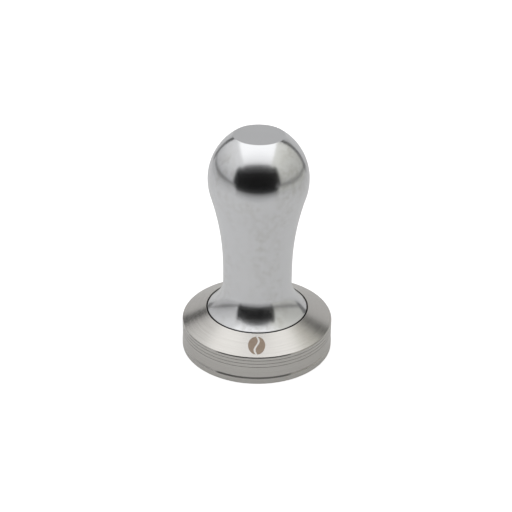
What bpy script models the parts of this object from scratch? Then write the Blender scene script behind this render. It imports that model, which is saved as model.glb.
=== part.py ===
"""Espresso tamper for a 58 mm basket.

A solid stainless steel base is screwed to a turned aluminium handle by a threaded
stud, and a rubber O-ring seals the joint between them. The part stands on its
tamping face: the origin is the centre of that face and +Z runs up the handle.

Sizes below are in millimetres. Every piece is turned about the Z axis.
"""
import math

import bpy

MM = 0.001
CLEARANCE = 0.3          # gap kept between pieces that touch on the real object
TURN_STEPS = 60          # facets round a turned piece
SHARP_ANGLE = math.radians(28)

# Base
BASE_R = 29.25           # the sizing band round the tamping face, half of 58.5
BASE_EDGE = 0.2          # chamfer round the tamping face
WALL_R = 29.1            # the wall above the band is slightly smaller
LEDGE_R = 28.89          # a narrow slope rises from the band into an undercut in the wall
LEDGE_Z = 2.25
LEDGE_TOP_Z = 2.91
WALL_LOW_Z = 2.97
RING_COUNT = 3
RING_WIDTH = 0.16
RING_DEPTH = 0.3
RING_PITCH = 1.42
TOP_RING_Z = 10.27
RIM_Z = 11.62            # where the wall and the cone would meet
RIM_EDGE = 0.27          # chamfer between them, measured along each
CONE_TOP_Z = 16.4
RECESS_R = 19.75         # seat turned into the cone for the foot of the handle
RECESS_FLOOR_Z = 12.4
RECESS_EDGE = 0.12
BASE_HOLE_FLOOR_Z = 2.6

# Handle
TOP_Z = 88.4
TOP_FLAT_R = 9.4
TOP_EDGE = 0.35
BULB_R = 18.7
BULB_Z = 71.0
NECK_R = 13.2
NECK_Z = 33.8
NECK_ARC_R = 106.0       # the long hollow curve between the neck and the bulb
FLARE_TOP_Z = 26.3       # the neck starts to spread here, along part of a superellipse
FLARE_WIDTH = 9.35
FLARE_HEIGHT = 11.6
FLARE_POWER = 1.5
FOOT_R = 19.2
FOOT_EDGE = 0.15
FOOT_Z = RECESS_FLOOR_Z + CLEARANCE
SEAL_GROOVE_R = 17.65
HANDLE_HOLE_TOP_Z = 28.2
DRILL_POINT_ANGLE = math.radians(31)

# Threaded stud, M10
STUD_R = 5.0
STUD_Z = BASE_HOLE_FLOOR_Z + CLEARANCE
STUD_TOP_Z = 27.6
STUD_EDGE = 0.8
HOLE_R = STUD_R + CLEARANCE
HOLE_MOUTH = 0.4
HEX_ACROSS_FLATS = 5.0
HEX_DEPTH = 4.0

# O-ring round the foot of the handle
SEAL_CENTRE_R = 18.7
SEAL_SECTION_R = 0.75
SEAL_Z = 14.9
SEAL_SIDES = 10


def clear_scene():
    """Remove whatever the file holds, such as the default cube."""
    for item in list(bpy.data.objects):
        bpy.data.objects.remove(item, do_unlink=True)


def make_collection(name):
    """Add a collection to the scene."""
    collection = bpy.data.collections.new(name)
    bpy.context.scene.collection.children.link(collection)
    return collection


def make_material(name, colour, roughness, metallic):
    """A plain Principled material."""
    material = bpy.data.materials.new(name)
    material.use_nodes = True
    shader = material.node_tree.nodes["Principled BSDF"]
    shader.inputs["Base Color"].default_value = (*colour, 1.0)
    shader.inputs["Roughness"].default_value = roughness
    shader.inputs["Metallic"].default_value = metallic
    material.diffuse_color = (*colour, 1.0)
    return material


def make_empty(name, z, parent, collection):
    """An empty on the Z axis that carries a moving piece."""
    empty = bpy.data.objects.new(name, None)
    empty.empty_display_size = 10 * MM
    collection.objects.link(empty)
    empty.parent = parent
    parent_z = parent.matrix_world.translation.z if parent else 0.0
    empty.location = (0.0, 0.0, z * MM - parent_z)
    bpy.context.view_layer.update()
    return empty


def arc(centre_r, centre_z, radius, start, end, steps):
    """Points (r, z) on an arc; angles in degrees, 0 pointing outward and 90 up."""
    points = []
    for i in range(steps + 1):
        angle = math.radians(start + (end - start) * i / steps)
        points.append((centre_r + radius * math.cos(angle), centre_z + radius * math.sin(angle)))
    return points


def notch(wall_r, z, width, depth):
    """A narrow square groove in a wall, from its top edge to its bottom edge."""
    return [
        (wall_r, z + width / 2),
        (wall_r - depth, z + width / 2),
        (wall_r - depth, z - width / 2),
        (wall_r, z - width / 2),
    ]


def turn(name, profile, closed, collection, material, parent, origin_z, steps=TURN_STEPS):
    """Revolve a profile of (r, z) points about Z into one closed, smooth-shaded piece."""
    mesh = bpy.data.meshes.new(name)
    points = [(r * MM, 0.0, (z - origin_z) * MM) for r, z in profile]
    edges = [(i, i + 1) for i in range(len(points) - 1)]
    if closed:
        edges.append((len(points) - 1, 0))
    mesh.from_pydata(points, edges, [])
    piece = bpy.data.objects.new(name, mesh)
    collection.objects.link(piece)
    piece.parent = parent
    piece.location.z = origin_z * MM - parent.matrix_world.translation.z
    screw = piece.modifiers.new("Turn", "SCREW")
    screw.axis = "Z"
    screw.steps = steps
    screw.render_steps = steps
    screw.use_merge_vertices = True
    screw.merge_threshold = 0.00001
    make_solid(piece)
    piece.data.materials.append(material)
    return piece


def make_solid(piece):
    """Turn the modifiers into mesh, and shade it smooth except at its real edges."""
    bpy.context.view_layer.update()
    depsgraph = bpy.context.evaluated_depsgraph_get()
    solid = bpy.data.meshes.new_from_object(piece.evaluated_get(depsgraph))
    solid.name = piece.name
    piece.modifiers.clear()
    piece.data = solid
    solid.shade_smooth()
    solid.set_sharp_from_angle(angle=SHARP_ANGLE)


def base_profile():
    """From the floor of the threaded hole, over the recess and cone, down the wall."""
    cone_angle = math.atan2(CONE_TOP_Z - RIM_Z, WALL_R - RECESS_R)
    hole = [
        (0.0, BASE_HOLE_FLOOR_Z),
        (HOLE_R, BASE_HOLE_FLOOR_Z),
        (HOLE_R, RECESS_FLOOR_Z - HOLE_MOUTH),
        (HOLE_R + HOLE_MOUTH, RECESS_FLOOR_Z),
    ]
    recess = [
        (RECESS_R, RECESS_FLOOR_Z),
        (RECESS_R, CONE_TOP_Z - RECESS_EDGE),
        (RECESS_R + RECESS_EDGE, CONE_TOP_Z - RECESS_EDGE * math.tan(cone_angle)),
    ]
    rim = [
        (WALL_R - RIM_EDGE * math.cos(cone_angle), RIM_Z + RIM_EDGE * math.sin(cone_angle)),
        (WALL_R, RIM_Z - RIM_EDGE),
    ]
    rings = []
    for i in range(RING_COUNT):
        rings += notch(WALL_R, TOP_RING_Z - i * RING_PITCH, RING_WIDTH, RING_DEPTH)
    band = [
        (WALL_R, WALL_LOW_Z),
        (LEDGE_R, LEDGE_TOP_Z),
        (BASE_R, LEDGE_Z),
        (BASE_R, BASE_EDGE),
        (BASE_R - BASE_EDGE, 0.0),
        (0.0, 0.0),
    ]
    return hole + recess + rim + rings + band


def bulb_curve():
    """The rounded top of the grip: one arc above its widest place and one below."""
    height = TOP_Z - BULB_Z
    inset = BULB_R - TOP_FLAT_R
    upper_radius = (inset ** 2 + height ** 2) / (2 * inset)
    top_angle = math.degrees(math.asin(height / upper_radius))
    first_angle = top_angle - math.degrees(TOP_EDGE / upper_radius)
    upper = arc(BULB_R - upper_radius, BULB_Z, upper_radius, first_angle, 0, 8)

    # The lower arc is the one that is tangent to the long hollow curve of the neck.
    across = NECK_R + NECK_ARC_R - BULB_R
    rise = BULB_Z - NECK_Z
    lower_radius = (across ** 2 + rise ** 2 - NECK_ARC_R ** 2) / (2 * (NECK_ARC_R - across))
    meeting = math.degrees(math.atan2(rise, across + lower_radius))
    lower = arc(BULB_R - lower_radius, BULB_Z, lower_radius, 0, -meeting, 3)
    hollow = arc(NECK_R + NECK_ARC_R, NECK_Z, NECK_ARC_R, 180 - meeting, 180, 5)
    return upper + lower[1:] + hollow[1:]


def flare_curve():
    """The neck spreading into the foot along a superellipse, hollow side out."""
    spread = FOOT_R - FOOT_EDGE - NECK_R
    last_angle = math.acos((1 - spread / FLARE_WIDTH) ** (FLARE_POWER / 2))
    steps = 9
    points = []
    for i in range(steps + 1):
        angle = last_angle * i / steps
        out = 1 - math.cos(angle) ** (2 / FLARE_POWER)
        down = math.sin(angle) ** (2 / FLARE_POWER)
        points.append((NECK_R + FLARE_WIDTH * out, FLARE_TOP_Z - FLARE_HEIGHT * down))
    return points


def handle_profile():
    """From the flat top down the grip to the foot, and up the threaded hole inside."""
    top = [(0.0, TOP_Z), (TOP_FLAT_R - TOP_EDGE, TOP_Z)]
    flare = flare_curve()
    lip_z = flare[-1][1]
    groove_half = SEAL_SECTION_R + CLEARANCE
    foot = [
        (FOOT_R, lip_z - FOOT_EDGE),
        (FOOT_R, SEAL_Z + groove_half),
        (SEAL_GROOVE_R, SEAL_Z + groove_half),
        (SEAL_GROOVE_R, SEAL_Z - groove_half),
        (FOOT_R, SEAL_Z - groove_half),
        (FOOT_R, FOOT_Z + FOOT_EDGE),
        (FOOT_R - FOOT_EDGE, FOOT_Z),
    ]
    hole = [
        (HOLE_R + HOLE_MOUTH, FOOT_Z),
        (HOLE_R, FOOT_Z + HOLE_MOUTH),
        (HOLE_R, HANDLE_HOLE_TOP_Z),
        (0.0, HANDLE_HOLE_TOP_Z + HOLE_R * math.tan(DRILL_POINT_ANGLE)),
    ]
    return top + bulb_curve() + flare + foot + hole


def stud_profile():
    """A rod with chamfered ends."""
    return [
        (0.0, STUD_TOP_Z),
        (STUD_R - STUD_EDGE, STUD_TOP_Z),
        (STUD_R, STUD_TOP_Z - STUD_EDGE),
        (STUD_R, STUD_Z + STUD_EDGE),
        (STUD_R - STUD_EDGE, STUD_Z),
        (0.0, STUD_Z),
    ]


def seal_profile():
    """The round section of the O-ring, without the repeated last point."""
    return arc(SEAL_CENTRE_R, SEAL_Z, SEAL_SECTION_R, 90, -270, SEAL_SIDES)[:-1]


def cut_hex_socket(stud, cutters):
    """Cut the key socket into the top end of the stud."""
    corner_r = HEX_ACROSS_FLATS / math.sqrt(3) * MM
    bpy.ops.mesh.primitive_cylinder_add(
        vertices=6,
        radius=corner_r,
        depth=2 * HEX_DEPTH * MM,
        location=(0.0, 0.0, STUD_TOP_Z * MM),
    )
    cutter = bpy.context.object
    cutter.name = "hex_socket_cutter"
    for collection in list(cutter.users_collection):
        collection.objects.unlink(cutter)
    cutters.objects.link(cutter)
    cutter.hide_render = True
    cutter.display_type = "WIRE"
    socket = stud.modifiers.new("Hex socket", "BOOLEAN")
    socket.operation = "DIFFERENCE"
    socket.solver = "EXACT"
    socket.object = cutter


def build_tamper():
    """Model every piece and set it on the carrier that moves it."""
    clear_scene()
    pieces = make_collection("espresso_tamper")
    cutters = make_collection("cutters")

    stainless = make_material("stainless_steel", (0.62, 0.60, 0.57), 0.28, 1.0)
    aluminium = make_material("satin_aluminium", (0.78, 0.79, 0.80), 0.18, 1.0)
    zinc_steel = make_material("zinc_plated_steel", (0.55, 0.56, 0.58), 0.35, 1.0)
    rubber = make_material("black_rubber", (0.02, 0.02, 0.02), 0.6, 0.0)

    base_frame = make_empty("base_frame", 0.0, None, pieces)
    lift_frame = make_empty("handle_lift_frame", SEAL_Z, base_frame, pieces)
    turn_frame = make_empty("handle_unscrew_frame", FOOT_Z, lift_frame, pieces)

    turn("base", base_profile(), False, pieces, stainless, base_frame, 0.0)
    turn("o_ring", seal_profile(), True, pieces, rubber, lift_frame, SEAL_Z)
    turn("handle", handle_profile(), False, pieces, aluminium, turn_frame, FOOT_Z)
    stud = turn("threaded_stud", stud_profile(), False, pieces, zinc_steel, base_frame, STUD_Z, 36)
    cut_hex_socket(stud, cutters)


build_tamper()
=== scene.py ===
"""The looks of the espresso tamper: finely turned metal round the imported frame, in a small light tent."""
import math

import bmesh
import bpy
import numpy as np
from mathutils import Matrix, Vector


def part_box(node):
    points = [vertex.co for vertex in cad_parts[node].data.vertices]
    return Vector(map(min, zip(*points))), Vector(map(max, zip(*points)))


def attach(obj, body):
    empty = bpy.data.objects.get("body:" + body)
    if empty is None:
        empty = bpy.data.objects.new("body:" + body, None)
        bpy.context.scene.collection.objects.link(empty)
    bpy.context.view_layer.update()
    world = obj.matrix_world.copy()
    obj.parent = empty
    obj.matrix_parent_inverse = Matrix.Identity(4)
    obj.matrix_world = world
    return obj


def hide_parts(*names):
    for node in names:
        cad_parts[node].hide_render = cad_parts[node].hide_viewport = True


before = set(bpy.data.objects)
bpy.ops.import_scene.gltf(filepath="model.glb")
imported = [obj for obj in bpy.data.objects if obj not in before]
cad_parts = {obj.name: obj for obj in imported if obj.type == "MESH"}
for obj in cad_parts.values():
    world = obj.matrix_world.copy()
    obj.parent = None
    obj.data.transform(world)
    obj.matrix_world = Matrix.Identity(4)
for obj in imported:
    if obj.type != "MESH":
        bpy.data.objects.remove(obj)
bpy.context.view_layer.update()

MM = 0.001

# ---------------------------------------------------------------- sizes
# Millimetres in the frame's own coordinates. What the frame's boxes give is read from them;
# the rest are the design's own sizes.


def box_mm(node):
    """The lowest and highest corner of a CAD node, in millimetres."""
    low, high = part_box(node)
    return low / MM, high / MM


BASE_HIGH = box_mm("base")[1]
HANDLE_LOW, HANDLE_HIGH = box_mm("handle")
STUD_LOW, STUD_HIGH = box_mm("threaded_stud")
SEAL_LOW, SEAL_HIGH = box_mm("o_ring")

BASE_R = BASE_HIGH.x
BASE_EDGE = 0.2
WALL_R = BASE_R - 0.15
LEDGE_R = BASE_R - 0.36
LEDGE_Z = 2.25
LEDGE_TOP_Z = 2.91
WALL_LOW_Z = 2.97
RING_COUNT = 3
RING_WIDTH = 0.16
RING_DEPTH = 0.3
RING_PITCH = 1.42
TOP_RING_Z = 10.27
RIM_Z = 11.62
RIM_EDGE = 0.27
CONE_TOP_Z = 16.4
RECESS_R = 19.75
RECESS_FLOOR_Z = 12.4
BASE_HOLE_FLOOR_Z = 2.6
CONE_ANGLE = math.atan2(CONE_TOP_Z - RIM_Z, WALL_R - RECESS_R)

TOP_Z = HANDLE_HIGH.z
FOOT_Z = HANDLE_LOW.z
TOP_FLAT_R = 9.4
BULB_R = 18.7
BULB_Z = 71.0
NECK_R = 13.2
NECK_Z = 33.8
NECK_ARC_R = 106.0
FLARE_TOP_Z = 26.3
FLARE_WIDTH = 9.35
FLARE_HEIGHT = 11.6
FLARE_POWER = 1.5
FOOT_R = HANDLE_HIGH.x
FOOT_EDGE = 0.15
SEAL_GROOVE_R = 17.65
HANDLE_HOLE_TOP_Z = 28.2

SEAL_Z = (SEAL_LOW.z + SEAL_HIGH.z) / 2
SEAL_SECTION_R = (SEAL_HIGH.z - SEAL_LOW.z) / 2
SEAL_CENTRE_R = SEAL_HIGH.x - SEAL_SECTION_R

STUD_R = STUD_HIGH.x
BASE_HOLE_R = STUD_R + 0.3
HANDLE_HOLE_R = STUD_R + 0.12
HOLE_MOUTH_R = STUD_R + 0.7
THREAD_PITCH = 1.5
THREAD_HEIGHT = 0.92
HEX_ACROSS_FLATS = 5.0
HEX_DEPTH = 4.0

MARK_HALF_WIDTH = 3.2
MARK_HALF_HEIGHT = 3.8
MARK_SPLIT = 0.75
MARK_WAVE = 0.75
MARK_HALF_THICKNESS = 0.02
MARK_TIP = 0.985

FINE_STEPS = 192
SEAL_STEPS = 160
CORE_STEPS = 96
MERGE_DISTANCE = 1e-6


# ---------------------------------------------------------------- outlines


def arc(centre_r, centre_z, radius, start, end, steps):
    """Points (r, z) on an arc; angles in degrees, 0 pointing outward and 90 up."""
    angles = np.radians(np.linspace(start, end, steps + 1))
    return [(centre_r + radius * math.cos(a), centre_z + radius * math.sin(a)) for a in angles]


def rounded(corners, steps=4):
    """An outline from corners (r, z, radius), each corner rounded by an arc of its radius."""
    outline = []
    last = len(corners) - 1
    for i, (r, z, radius) in enumerate(corners):
        corner = Vector((r, z))
        if radius == 0 or i in (0, last):
            outline.append((r, z))
            continue
        back = Vector(corners[i - 1][:2]) - corner
        ahead = Vector(corners[i + 1][:2]) - corner
        half = back.angle(ahead) / 2
        reach = min(radius / math.tan(half), 0.48 * back.length, 0.48 * ahead.length)
        back.normalize()
        ahead.normalize()
        centre = corner + (back + ahead).normalized() * (reach / math.cos(half))
        first = corner + back * reach - centre
        swing = first.angle_signed(corner + ahead * reach - centre)
        for k in range(steps + 1):
            turn = Matrix.Rotation(-swing * k / steps, 2)
            outline.append(tuple(centre + turn @ first))
    return outline


def notch(wall_r, z, width, depth):
    """Corners of a narrow square groove in a wall, from its top edge to its bottom edge."""
    return [
        (wall_r, z + width / 2, 0.01),
        (wall_r - depth, z + width / 2, 0),
        (wall_r - depth, z - width / 2, 0),
        (wall_r, z - width / 2, 0.01),
    ]


def base_outline():
    """From the floor of the stud's hole, over the recess and cone, down the wall."""
    corners = [
        (0, BASE_HOLE_FLOOR_Z, 0),
        (BASE_HOLE_R, BASE_HOLE_FLOOR_Z, 0.3),
        (BASE_HOLE_R, RECESS_FLOOR_Z - 0.4, 0.1),
        (HOLE_MOUTH_R, RECESS_FLOOR_Z, 0.1),
        (RECESS_R, RECESS_FLOOR_Z, 0.3),
        (RECESS_R, CONE_TOP_Z, 0.12),
        (WALL_R - RIM_EDGE * math.cos(CONE_ANGLE), RIM_Z + RIM_EDGE * math.sin(CONE_ANGLE), 0.06),
        (WALL_R, RIM_Z - RIM_EDGE, 0.06),
    ]
    for i in range(RING_COUNT):
        corners += notch(WALL_R, TOP_RING_Z - i * RING_PITCH, RING_WIDTH, RING_DEPTH)
    corners += [
        (WALL_R, WALL_LOW_Z, 0.02),
        (LEDGE_R, LEDGE_TOP_Z, 0.02),
        (BASE_R, LEDGE_Z, 0.03),
        (BASE_R, BASE_EDGE, 0.08),
        (BASE_R - BASE_EDGE, 0, 0.08),
        (0, 0, 0),
    ]
    return rounded(corners)


def bulb_outline():
    """The grip from the edge of its flat top to its narrowest place: three tangent arcs."""
    height = TOP_Z - BULB_Z
    inset = BULB_R - TOP_FLAT_R
    upper_radius = (inset ** 2 + height ** 2) / (2 * inset)
    top_angle = math.degrees(math.asin(height / upper_radius))
    upper = arc(BULB_R - upper_radius, BULB_Z, upper_radius, top_angle, 0, 28)

    across = NECK_R + NECK_ARC_R - BULB_R
    rise = BULB_Z - NECK_Z
    lower_radius = (across ** 2 + rise ** 2 - NECK_ARC_R ** 2) / (2 * (NECK_ARC_R - across))
    meeting = math.degrees(math.atan2(rise, across + lower_radius))
    lower = arc(BULB_R - lower_radius, BULB_Z, lower_radius, 0, -meeting, 10)
    hollow = arc(NECK_R + NECK_ARC_R, NECK_Z, NECK_ARC_R, 180 - meeting, 180, 18)
    return upper + lower[1:] + hollow[1:]


def flare_outline():
    """The neck spreading into the foot along a superellipse, hollow side out."""
    spread = FOOT_R - FOOT_EDGE - NECK_R
    last_angle = math.acos((1 - spread / FLARE_WIDTH) ** (FLARE_POWER / 2))
    outline = []
    for angle in np.linspace(0, last_angle, 32):
        out = 1 - math.cos(angle) ** (2 / FLARE_POWER)
        down = math.sin(angle) ** (2 / FLARE_POWER)
        outline.append((NECK_R + FLARE_WIDTH * out, FLARE_TOP_Z - FLARE_HEIGHT * down))
    return outline


def handle_outline():
    """From the flat top down the grip to the foot, and up the threaded hole inside."""
    bulb = bulb_outline()
    shoulder = [(0, TOP_Z, 0), (TOP_FLAT_R, TOP_Z, 0.6), (*bulb[2], 0)]
    flare = flare_outline()
    groove_half = SEAL_SECTION_R + 0.3
    foot = [
        (*flare[-1], 0),
        (FOOT_R, flare[-1][1] - FOOT_EDGE, 0.1),
        (FOOT_R, SEAL_Z + groove_half, 0.1),
        (SEAL_GROOVE_R, SEAL_Z + groove_half, 0.2),
        (SEAL_GROOVE_R, SEAL_Z - groove_half, 0.2),
        (FOOT_R, SEAL_Z - groove_half, 0.1),
        (FOOT_R, FOOT_Z, 0.3),
        (HOLE_MOUTH_R, FOOT_Z, 0.1),
        (HANDLE_HOLE_R, FOOT_Z + 0.6, 0.1),
        (HANDLE_HOLE_R, HANDLE_HOLE_TOP_Z, 0.1),
        (0, HANDLE_HOLE_TOP_Z + 3, 0),
    ]
    return rounded(shoulder, 6) + bulb[3:] + flare + rounded(foot)[1:]


# ---------------------------------------------------------------- mesh tools


def link(name, mesh):
    """An object in the scene for a mesh."""
    piece = bpy.data.objects.new(name, mesh)
    bpy.context.scene.collection.objects.link(piece)
    return piece


def turned_mesh(name, outline, steps=FINE_STEPS, closed=False):
    """Revolve an outline of (r, z) in millimetres about Z, with one vertex where it meets the axis."""
    made = bmesh.new()
    angles = [2 * math.pi * k / steps for k in range(steps)]
    rings = []
    for r, z in outline:
        if r < 1e-6:
            rings.append([made.verts.new((0, 0, z * MM))] * steps)
            continue
        rings.append([made.verts.new((r * MM * math.cos(a), r * MM * math.sin(a), z * MM))
                      for a in angles])
    pairs = list(zip(rings, rings[1:]))
    if closed:
        pairs.append((rings[-1], rings[0]))
    for upper, lower in pairs:
        for k in range(steps):
            n = (k + 1) % steps
            loop = dict.fromkeys((upper[k], lower[k], lower[n], upper[n]))
            made.faces.new(list(loop))
    mesh = bpy.data.meshes.new(name)
    made.to_mesh(mesh)
    made.free()
    return mesh


def shade(piece, angle=35):
    """Smooth shading that keeps flats flat and real edges sharp."""
    piece.data.shade_smooth()
    piece.data.set_sharp_from_angle(angle=math.radians(angle))
    even = piece.modifiers.new("Even normals", "WEIGHTED_NORMAL")
    even.keep_sharp = True
    return piece


def thread_mesh(name, wall_r, crest_r, low_z, high_z, phase_z, steps=64):
    """A helical ridge with closed ends that fades in and out over half a turn. It is rooted just
    inside the wall and points outward or inward, whichever way the crest lies."""
    made = bmesh.new()
    depth = crest_r - wall_r
    root_r = wall_r - 0.05 * math.copysign(1, depth)
    root_half = THREAD_PITCH * 0.40
    crest_half = THREAD_PITCH * 0.07
    turns = (high_z - low_z) / THREAD_PITCH - 0.9
    count = int(turns * steps)
    start_angle = -2 * math.pi * (low_z + THREAD_PITCH * 0.45 - phase_z) / THREAD_PITCH
    rows = []
    for i in range(count + 1):
        around = 2 * math.pi * i / steps
        middle = low_z + THREAD_PITCH * (0.45 + i / steps)
        angle = around - start_angle
        fade = min(1, i / (steps / 2) + 0.02, (count - i) / (steps / 2) + 0.02)
        section = [
            (root_r, -root_half),
            (wall_r + depth * fade, -crest_half - (root_half - crest_half) * (1 - fade)),
            (wall_r + depth * fade, crest_half + (root_half - crest_half) * (1 - fade)),
            (root_r, root_half),
        ]
        rows.append([
            made.verts.new((r * MM * math.cos(angle), r * MM * math.sin(angle), (middle + dz) * MM))
            for r, dz in section
        ])
    for before, after in zip(rows, rows[1:]):
        for k in range(4):
            n = (k + 1) % 4
            made.faces.new((before[k], after[k], after[n], before[n]))
    made.faces.new(rows[0])
    made.faces.new(rows[-1][::-1])
    bmesh.ops.recalc_face_normals(made, faces=made.faces)
    mesh = bpy.data.meshes.new(name)
    made.to_mesh(mesh)
    made.free()
    return mesh


def join(piece, *meshes):
    """Merge the vertices of a piece that nearly touch, then add more closed meshes to it."""
    made = bmesh.new()
    made.from_mesh(piece.data)
    bmesh.ops.remove_doubles(made, verts=made.verts, dist=MERGE_DISTANCE)
    for mesh in meshes:
        made.from_mesh(mesh)
        bpy.data.meshes.remove(mesh)
    made.to_mesh(piece.data)
    made.free()


# ---------------------------------------------------------------- materials

ALUMINIUM = (0.80, 0.805, 0.82)
SMUDGED_ALUMINIUM = (0.725, 0.723, 0.72)
SMUDGE_SHIFT = (0.77, 0.5, 0.1)
SMUDGE_STRETCH = (1, 1, 0.45)
STEEL_DARK = (0.612, 0.594, 0.566)
STEEL_LIGHT = (0.704, 0.685, 0.657)
RUBBER_DARK = (0.012, 0.012, 0.012)
RUBBER_LIGHT = (0.03, 0.03, 0.03)
ZINC_DARK = (0.40, 0.42, 0.45)
ZINC_LIGHT = (0.62, 0.63, 0.64)
BROWN_DARK = (0.34, 0.26, 0.20)
BROWN_LIGHT = (0.44, 0.35, 0.28)


class Nodes:
    """A new material and short ways to add and connect its nodes."""

    def __init__(self, name):
        self.material = bpy.data.materials.new(name)
        self.material.use_nodes = True
        self.tree = self.material.node_tree
        self.shader = self.tree.nodes["Principled BSDF"]

    def add(self, kind, **settings):
        node = self.tree.nodes.new("ShaderNode" + kind)
        for key, value in settings.items():
            setattr(node, key, value)
        return node

    def link(self, source, target):
        self.tree.links.new(source, target)

    def put(self, target, value):
        if isinstance(value, bpy.types.NodeSocket):
            self.link(value, target)
        else:
            target.default_value = value

    def maths(self, operation, a, b=0.0):
        """An operation on one or two values, each a number or another node's output."""
        node = self.add("Math", operation=operation)
        self.put(node.inputs[0], a)
        self.put(node.inputs[1], b)
        return node.outputs[0]

    def remap(self, value, low, high, to_low, to_high):
        node = self.add("MapRange")
        for socket, amount in zip(node.inputs, (value, low, high, to_low, to_high)):
            self.put(socket, amount)
        return node.outputs[0]

    def mix(self, factor, a, b):
        """A colour between two colours."""
        node = self.add("Mix", data_type="RGBA")
        self.put(node.inputs[0], factor)
        self.put(node.inputs[6], (*a, 1))
        self.put(node.inputs[7], (*b, 1))
        return node.outputs[2]

    def noise(self, vector, scale, detail):
        node = self.add("TexNoise")
        self.put(node.inputs["Vector"], vector)
        self.put(node.inputs["Scale"], scale)
        self.put(node.inputs["Detail"], detail)
        return node.outputs["Fac"]

    def lathe_space(self, around, along):
        """Coordinates (cos, sin, distance down the outline): noise in it makes rings round the axis."""
        coords = self.add("TexCoord")
        split = self.add("SeparateXYZ")
        self.link(coords.outputs["Object"], split.inputs[0])
        x, y, z = split.outputs
        r2 = self.maths("ADD", self.maths("MULTIPLY", x, x), self.maths("MULTIPLY", y, y))
        r = self.maths("MAXIMUM", self.maths("SQRT", r2), 1e-5)
        down = self.maths("SUBTRACT", self.maths("MULTIPLY", r, 1.7), z)
        joined = self.add("CombineXYZ")
        self.link(self.maths("MULTIPLY", self.maths("DIVIDE", x, r), around), joined.inputs[0])
        self.link(self.maths("MULTIPLY", self.maths("DIVIDE", y, r), around), joined.inputs[1])
        self.link(self.maths("MULTIPLY", down, along), joined.inputs[2])
        return joined.outputs[0]

    def object_space(self, shift=(0, 0, 0), stretch=(1, 1, 1)):
        """The piece's own coordinates in metres, moved and stretched."""
        place = self.add("Mapping")
        place.inputs["Location"].default_value = shift
        place.inputs["Scale"].default_value = stretch
        self.link(self.add("TexCoord").outputs["Object"], place.inputs["Vector"])
        return place.outputs[0]

    def height(self):
        """Metres above the tamping face, with the part at rest."""
        split = self.add("SeparateXYZ")
        self.link(self.add("TexCoord").outputs["Object"], split.inputs[0])
        return split.outputs[2]

    def bump(self, height, distance):
        node = self.add("Bump")
        node.inputs["Strength"].default_value = 1.0
        node.inputs["Distance"].default_value = distance
        self.link(height, node.inputs["Height"])
        self.link(node.outputs[0], self.shader.inputs["Normal"])

    def turned_grain(self, amount):
        """Stretch the highlights across the turning marks."""
        self.shader.inputs["Anisotropic"].default_value = amount
        self.shader.inputs["Anisotropic Rotation"].default_value = 0.25
        tangent = self.add("Tangent", direction_type="RADIAL", axis="Z")
        self.link(tangent.outputs[0], self.shader.inputs["Tangent"])


def satin_aluminium():
    """Finely turned, nearly polished aluminium, with a few handling smudges."""
    n = Nodes("satin_aluminium")
    n.shader.inputs["Metallic"].default_value = 1.0
    n.turned_grain(0.3)
    fine = n.noise(n.lathe_space(0.6, 5000), 1.0, 3)
    where = n.object_space(SMUDGE_SHIFT, SMUDGE_STRETCH)
    patches = n.remap(n.noise(where, 70, 2), 0.45, 0.6, 0, 1)
    specks = n.remap(n.noise(n.object_space(), 420, 8), 0.42, 0.66, 0, 1)
    below_top = n.remap(n.height(), (TOP_Z - 0.8) * MM, (TOP_Z - 0.3) * MM, 1, 0)
    marks = n.maths("MULTIPLY", n.maths("MULTIPLY", patches, specks), below_top)
    tint = n.mix(marks, ALUMINIUM, SMUDGED_ALUMINIUM)
    n.link(tint, n.shader.inputs["Base Color"])
    rough = n.maths("ADD", n.remap(fine, 0.3, 0.7, 0.165, 0.205),
                    n.maths("MULTIPLY", marks, 0.05))
    n.link(rough, n.shader.inputs["Roughness"])
    n.bump(fine, 0.0000015)
    return n.material


def brushed_steel():
    """Stainless steel brushed round its axis, with wider turning rings on the tamping face."""
    n = Nodes("brushed_steel")
    n.shader.inputs["Metallic"].default_value = 1.0
    n.turned_grain(0.7)
    coarse = n.noise(n.lathe_space(0.7, 2500), 1.0, 3)
    fine = n.noise(n.lathe_space(1.6, 9000), 1.0, 2)
    lines = n.maths("ADD", n.maths("MULTIPLY", coarse, 0.5), n.maths("MULTIPLY", fine, 0.5))
    rings = n.remap(n.noise(n.lathe_space(0.2, 320), 1.0, 4), 0.4, 0.6, -0.3, 0.3)
    face = n.remap(n.height(), 0, 0.1 * MM, 1, 0)
    lines_and_rings = n.maths("ADD", lines, n.maths("MULTIPLY", rings, face))
    tint = n.mix(n.remap(lines_and_rings, 0.35, 0.65, 0, 1), STEEL_DARK, STEEL_LIGHT)
    n.link(tint, n.shader.inputs["Base Color"])
    n.link(n.remap(lines_and_rings, 0.35, 0.65, 0.19, 0.25), n.shader.inputs["Roughness"])
    n.bump(lines, 0.0000012)
    return n.material


def black_rubber():
    """Smooth black rubber with a dull bloom."""
    n = Nodes("black_rubber")
    bloom = n.noise(n.object_space(), 400, 4)
    tint = n.mix(n.remap(bloom, 0.4, 0.7, 0, 1), RUBBER_DARK, RUBBER_LIGHT)
    n.link(tint, n.shader.inputs["Base Color"])
    n.link(n.remap(bloom, 0.3, 0.7, 0.45, 0.65), n.shader.inputs["Roughness"])
    n.bump(bloom, 0.00001)
    return n.material


def zinc_plated_steel():
    """Zinc plate over steel: slightly blue, with a fine grain."""
    n = Nodes("zinc_plated_steel")
    n.shader.inputs["Metallic"].default_value = 1.0
    grain = n.noise(n.object_space(), 900, 4)
    tint = n.mix(n.remap(grain, 0.35, 0.65, 0, 1), ZINC_DARK, ZINC_LIGHT)
    n.link(tint, n.shader.inputs["Base Color"])
    n.link(n.remap(grain, 0.3, 0.7, 0.28, 0.42), n.shader.inputs["Roughness"])
    n.bump(grain, 0.00001)
    return n.material


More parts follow.
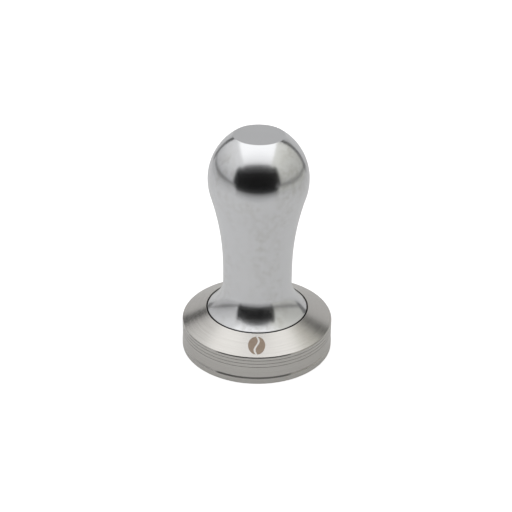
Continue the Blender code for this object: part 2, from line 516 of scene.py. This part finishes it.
def etched_brown():
    """The heat tint that a marking laser leaves on steel."""
    n = Nodes("etched_brown")
    n.shader.inputs["Metallic"].default_value = 0.55
    grain = n.noise(n.object_space(), 2500, 2)
    tint = n.mix(n.remap(grain, 0.35, 0.65, 0, 1), BROWN_DARK, BROWN_LIGHT)
    n.link(tint, n.shader.inputs["Base Color"])
    n.link(n.remap(grain, 0.3, 0.7, 0.45, 0.6), n.shader.inputs["Roughness"])
    return n.material


# ---------------------------------------------------------------- pieces


def finish_piece(piece, material, body, node):
    """Give a piece its material and its body, and hide the CAD node it stands for."""
    piece.data.materials.clear()
    piece.data.materials.append(material)
    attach(piece, body)
    if node:
        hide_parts(node)


def make_base(steel):
    piece = link("turned_base", turned_mesh("turned_base", base_outline()))
    finish_piece(shade(piece), steel, "base", "base")


def make_mark(brown):
    """A generic coffee bean, marked by heat on the front of the cone: two halves round a wavy split."""
    middle_r = (RECESS_R + WALL_R) / 2
    middle_z = (CONE_TOP_Z + RIM_Z) / 2

    def on_cone(u, v, height):
        r = middle_r - v * math.cos(CONE_ANGLE) + height * math.sin(CONE_ANGLE)
        z = middle_z + v * math.sin(CONE_ANGLE) + height * math.cos(CONE_ANGLE)
        angle = u / (middle_r - v * math.cos(CONE_ANGLE))
        return Vector((r * math.sin(angle), -r * math.cos(angle), z)) * MM

    def split(v):
        return MARK_WAVE * math.sin(math.pi * v / MARK_HALF_HEIGHT)

    made = bmesh.new()
    rows, columns = 40, 10
    for side in (-1, 1):
        layers = []
        for height in (-MARK_HALF_THICKNESS, MARK_HALF_THICKNESS):
            layer = []
            for v in np.linspace(-MARK_TIP, MARK_TIP, rows + 1) * MARK_HALF_HEIGHT:
                edge = side * MARK_HALF_WIDTH * math.sqrt(1 - (v / MARK_HALF_HEIGHT) ** 2)
                inner = split(v) + side * MARK_SPLIT / 2
                if (edge - inner) * side < 0.02:
                    inner = edge - side * 0.02
                across = np.linspace(inner, edge, columns + 1)
                layer.append([made.verts.new(on_cone(u, v, height)) for u in across])
            layers.append(layer)
        low, high = layers
        for i in range(rows):
            for k in range(columns):
                made.faces.new((high[i][k], high[i][k + 1], high[i + 1][k + 1], high[i + 1][k]))
                made.faces.new((low[i][k], low[i + 1][k], low[i + 1][k + 1], low[i][k + 1]))
        rim = [(0, k) for k in range(columns)] + [(i, columns) for i in range(rows)]
        rim += [(rows, k) for k in range(columns, 0, -1)] + [(i, 0) for i in range(rows, 0, -1)]
        for (a, b), (c, d) in zip(rim, rim[1:] + rim[:1]):
            made.faces.new((low[a][b], low[c][d], high[c][d], high[a][b]))
    bmesh.ops.recalc_face_normals(made, faces=made.faces)
    mesh = bpy.data.meshes.new("bean_mark")
    made.to_mesh(mesh)
    made.free()
    finish_piece(shade(link("bean_mark", mesh)), brown, "base", None)


def make_handle(aluminium):
    piece = link("turned_handle", turned_mesh("turned_handle", handle_outline()))
    thread = thread_mesh(
        "handle_thread", HANDLE_HOLE_R, STUD_R - THREAD_HEIGHT + 0.14,
        FOOT_Z + 0.5, HANDLE_HOLE_TOP_Z - 0.3, STUD_LOW.z + THREAD_PITCH / 2)
    join(piece, thread)
    finish_piece(shade(piece), aluminium, "grip", "handle")


def make_seal(rubber):
    section = arc(SEAL_CENTRE_R, SEAL_Z, SEAL_SECTION_R, 90, -270, 24)[:-1]
    piece = link("rubber_seal", turned_mesh("rubber_seal", section, SEAL_STEPS, closed=True))
    finish_piece(shade(piece), rubber, "seal", "o_ring")


def make_stud(zinc):
    """A threaded rod with a key socket in its top."""
    root_r = STUD_R - THREAD_HEIGHT
    core = rounded([
        (0, STUD_HIGH.z, 0),
        (root_r - 0.1, STUD_HIGH.z, 0.15),
        (root_r, STUD_HIGH.z - 0.5, 0.1),
        (root_r, STUD_LOW.z + 0.5, 0.1),
        (root_r - 0.5, STUD_LOW.z, 0.1),
        (0, STUD_LOW.z, 0),
    ])
    piece = link("stud", turned_mesh("stud", core, CORE_STEPS))
    bpy.ops.mesh.primitive_cylinder_add(
        vertices=6, radius=HEX_ACROSS_FLATS / math.sqrt(3) * MM, depth=2 * HEX_DEPTH * MM,
        location=(0, 0, STUD_HIGH.z * MM))
    key = bpy.context.object
    socket = piece.modifiers.new("Key socket", "BOOLEAN")
    socket.operation = "DIFFERENCE"
    socket.solver = "EXACT"
    socket.object = key
    bpy.context.view_layer.update()
    cut = piece.evaluated_get(bpy.context.evaluated_depsgraph_get())
    piece.data = bpy.data.meshes.new_from_object(cut)
    piece.modifiers.clear()
    bpy.data.objects.remove(key, do_unlink=True)
    join(piece, thread_mesh("stud_thread", root_r, STUD_R, STUD_LOW.z, STUD_HIGH.z - 0.1, STUD_LOW.z))
    finish_piece(shade(piece, 25), zinc, "base", "threaded_stud")


# ---------------------------------------------------------------- studio

TARGET = Vector((0, 0, 0.045))
CAMERA_DISTANCE = 0.425
CAMERA_ELEVATION = 28.8
CAMERA_ROLL = 0.68
CAMERA_SHIFT = (-0.0037, -0.0298)
FOCAL_LENGTH = 79.309
SENSOR_WIDTH = 36.0

TENT_LEFT = -0.400
TENT_RIGHT = 0.300
TENT_FRONT = -0.413
TENT_FOOT_Y = -0.350
TENT_TOP = 0.528
BACK_LEFT = (TENT_LEFT, 0.530)
BACK_RIGHT = (TENT_RIGHT, 0.325)
SILL_LEFT = -0.166
SILL_RIGHT = 0.126
SILL_Y = -0.150
SILL_TOP = 0.044
CEILING_EDGE_X = -0.335
SIDE_GLOW = (0.50, 0.75, (0.09, 0.40))
CARD_GAP = 0.002
FLOOR_HALF_SIZE = 3.0


def make_camera():
    """A camera that looks down at the front of the tamper."""
    data = bpy.data.cameras.new("camera")
    data.sensor_width = SENSOR_WIDTH
    data.lens = FOCAL_LENGTH
    data.shift_x, data.shift_y = CAMERA_SHIFT
    camera = bpy.data.objects.new("camera", data)
    bpy.context.scene.collection.objects.link(camera)
    e = math.radians(CAMERA_ELEVATION)
    back = Vector((0, -math.cos(e), math.sin(e)))
    look = (-back).to_track_quat("-Z", "Y").to_matrix().to_4x4()
    roll = Matrix.Rotation(math.radians(CAMERA_ROLL), 4, "Z")
    camera.matrix_world = Matrix.Translation(TARGET + back * CAMERA_DISTANCE) @ look @ roll
    bpy.context.scene.camera = camera


def glow_material(name, low, high=None, span=(0.0, 1.0), axis=2, tint=(1, 1, 1)):
    """An even glow, or one that changes smoothly from low to high over a span of one axis."""
    material = bpy.data.materials.new(name)
    material.use_nodes = True
    tree = material.node_tree
    tree.nodes.clear()
    glow = tree.nodes.new("ShaderNodeEmission")
    glow.inputs["Color"].default_value = (*tint, 1)
    glow.inputs["Strength"].default_value = low
    if high is not None:
        tree.links.new(ramp_along(tree, axis, span, low, high), glow.inputs["Strength"])
    out = tree.nodes.new("ShaderNodeOutputMaterial")
    tree.links.new(glow.outputs[0], out.inputs["Surface"])
    return material


def ramp_along(tree, axis, span, low, high):
    """A value that goes smoothly from low to high over a span of one object axis."""
    coords = tree.nodes.new("ShaderNodeTexCoord")
    split = tree.nodes.new("ShaderNodeSeparateXYZ")
    ramp = tree.nodes.new("ShaderNodeMapRange")
    ramp.interpolation_type = "SMOOTHSTEP"
    for socket, value in zip(ramp.inputs[1:5], (*span, low, high)):
        socket.default_value = value
    tree.links.new(coords.outputs["Object"], split.inputs[0])
    tree.links.new(split.outputs[axis], ramp.inputs[0])
    return ramp.outputs[0]


def card(name, corners, material):
    """A flat light or dark panel of the tent, which the camera looks through."""
    mesh = bpy.data.meshes.new(name)
    mesh.from_pydata(corners, [], [tuple(range(len(corners)))])
    panel = link(name, mesh)
    mesh.materials.append(material)
    panel.visible_camera = False
    panel.visible_shadow = False
    return panel


def upright(name, start, end, low, high, material):
    """A vertical card over a line on the floor from start to end."""
    return card(name, [(*start, low), (*end, low), (*end, high), (*start, high)], material)


def make_tent():
    """A light tent: bright above, pale walls with dark seams and hems, and a dark room in front."""
    left, right, front, top = TENT_LEFT, TENT_RIGHT, TENT_FRONT, TENT_TOP
    card("ceiling", [(left, front, top), (right, front, top), (*BACK_RIGHT, top), (*BACK_LEFT, top)],
         glow_material("ceiling_glow", 0.90, 1.19, (front, -0.05), axis=1))
    low = top - CARD_GAP
    card("ceiling_edge", [
        (left, front, low), (CEILING_EDGE_X, front, low), (CEILING_EDGE_X, 0.5, low), (left, 0.5, low)],
        glow_material("ceiling_edge_glow", 0.75, 0.95, (left, CEILING_EDGE_X), axis=0))

    side = glow_material("side_glow", *SIDE_GLOW)
    warm_side = glow_material("warm_side_glow", *SIDE_GLOW, tint=(1, 1, 0.94))
    front_edge = [(TENT_FOOT_Y, 0), (-0.262, 0.09), (-0.255, 0.20), (-0.255, 0.31),
                  (-0.275, 0.37), (-0.335, 0.42), (front, 0.46), (front, top)]
    for name, x, back, glow in (("left_side", left, BACK_LEFT, side),
                                ("right_side", right, BACK_RIGHT, warm_side)):
        card(name, [(x, y, z) for y, z in front_edge] + [(*back, top), (*back, 0)], glow)
    upright("back", BACK_LEFT, BACK_RIGHT, 0, top,
            glow_material("back_glow", 0.56, 0.49, (0.15, 0.28)))
    make_room()

    seam = glow_material("seam_glow", 0.15, 0.04, (0.15, 0.27))
    x = left + CARD_GAP
    upright("left_seam", (x, 0.447), (-0.333, 0.508), 0, top, seam)
    card("left_hem", [(x, -0.386, 0.068), (x, -0.12, 0.062), (x, 0.06, 0.062), (x, 0.5, 0.074),
                      (x, 0.5, 0.086), (x, 0.06, 0.098), (x, -0.12, 0.098), (x, -0.386, 0.080)],
         glow_material("hem_glow", 0.05))
    x = right - CARD_GAP
    upright("right_seam", (x, 0.225), (x, 0.320), 0, top, seam)
    card("right_hem", [(x, -0.384, 0.066), (x, 0.30, 0.030), (x, 0.30, 0.048), (x, -0.384, 0.112)], seam)


def make_room():
    """The dark room that the open front of the tent lets in, down to a dim sill. It is only seen
    in reflections and takes no light from the floor."""
    left, right, front, top = TENT_LEFT, TENT_RIGHT, TENT_FRONT, TENT_TOP
    outer_left, outer_right = left - CARD_GAP, right + CARD_GAP
    dark = glow_material("dark_room", 0.004, 0.12, (0.30, top))
    sill = glow_material("sill_glow", 0.55, 0.31, (0.0, SILL_TOP))
    floor = [(SILL_LEFT, SILL_Y - CARD_GAP), (SILL_RIGHT, SILL_Y - CARD_GAP), (right, TENT_FOOT_Y),
             (right, front), (left, front), (left, TENT_FOOT_Y)]
    room = [
        upright("room_front", (outer_left, front), (outer_right, front), 0, top, dark),
        upright("room_left", (outer_left, front), (outer_left, 0), 0, top, dark),
        upright("room_right", (outer_right, front), (outer_right, 0), 0, top, dark),
        card("room_floor", [(x, y, CARD_GAP) for x, y in floor], dark),
        upright("sill", (SILL_LEFT, SILL_Y), (SILL_RIGHT, SILL_Y), 0, SILL_TOP, sill),
    ]
    for panel in room:
        panel.visible_diffuse = False


def make_floor():
    """White paper that looks burnt out to the camera and a little brighter on the left."""
    mesh = bpy.data.meshes.new("floor")
    s = FLOOR_HALF_SIZE
    mesh.from_pydata([(-s, -s, 0), (s, -s, 0), (s, s, 0), (-s, s, 0)], [], [(0, 1, 2, 3)])
    floor = link("floor", mesh)
    material = bpy.data.materials.new("floor")
    material.use_nodes = True
    tree = material.node_tree
    tree.nodes.clear()
    paper = tree.nodes.new("ShaderNodeBsdfDiffuse")
    paper.inputs["Color"].default_value = (0.70, 0.70, 0.70, 1)
    glow = tree.nodes.new("ShaderNodeEmission")
    path = tree.nodes.new("ShaderNodeLightPath")
    pick = tree.nodes.new("ShaderNodeMapRange")
    pick.inputs["To Max"].default_value = 0.70
    add = tree.nodes.new("ShaderNodeAddShader")
    out = tree.nodes.new("ShaderNodeOutputMaterial")
    tree.links.new(path.outputs["Is Camera Ray"], pick.inputs["Value"])
    tree.links.new(ramp_along(tree, 0, (-0.15, 0.15), 0.070, 0.025), pick.inputs["To Min"])
    tree.links.new(pick.outputs[0], glow.inputs["Strength"])
    tree.links.new(paper.outputs[0], add.inputs[0])
    tree.links.new(glow.outputs[0], add.inputs[1])
    tree.links.new(add.outputs[0], out.inputs["Surface"])
    mesh.materials.append(material)


def make_world():
    """Even grey light from all round, white to the camera."""
    world = bpy.data.worlds.new("studio")
    bpy.context.scene.world = world
    world.use_nodes = True
    tree = world.node_tree
    grey = tree.nodes["Background"]
    grey.inputs["Color"].default_value = (1, 1, 1, 1)
    path = tree.nodes.new("ShaderNodeLightPath")
    pick = tree.nodes.new("ShaderNodeMapRange")
    pick.inputs["To Min"].default_value = 0.52
    pick.inputs["To Max"].default_value = 1.0
    tree.links.new(path.outputs["Is Camera Ray"], pick.inputs["Value"])
    tree.links.new(pick.outputs[0], grey.inputs["Strength"])


make_base(brushed_steel())
make_mark(etched_brown())
make_handle(satin_aluminium())
make_seal(black_rubber())
make_stud(zinc_plated_steel())
make_camera()
make_tent()
make_floor()
make_world()
bpy.context.scene.view_settings.view_transform = "Standard"
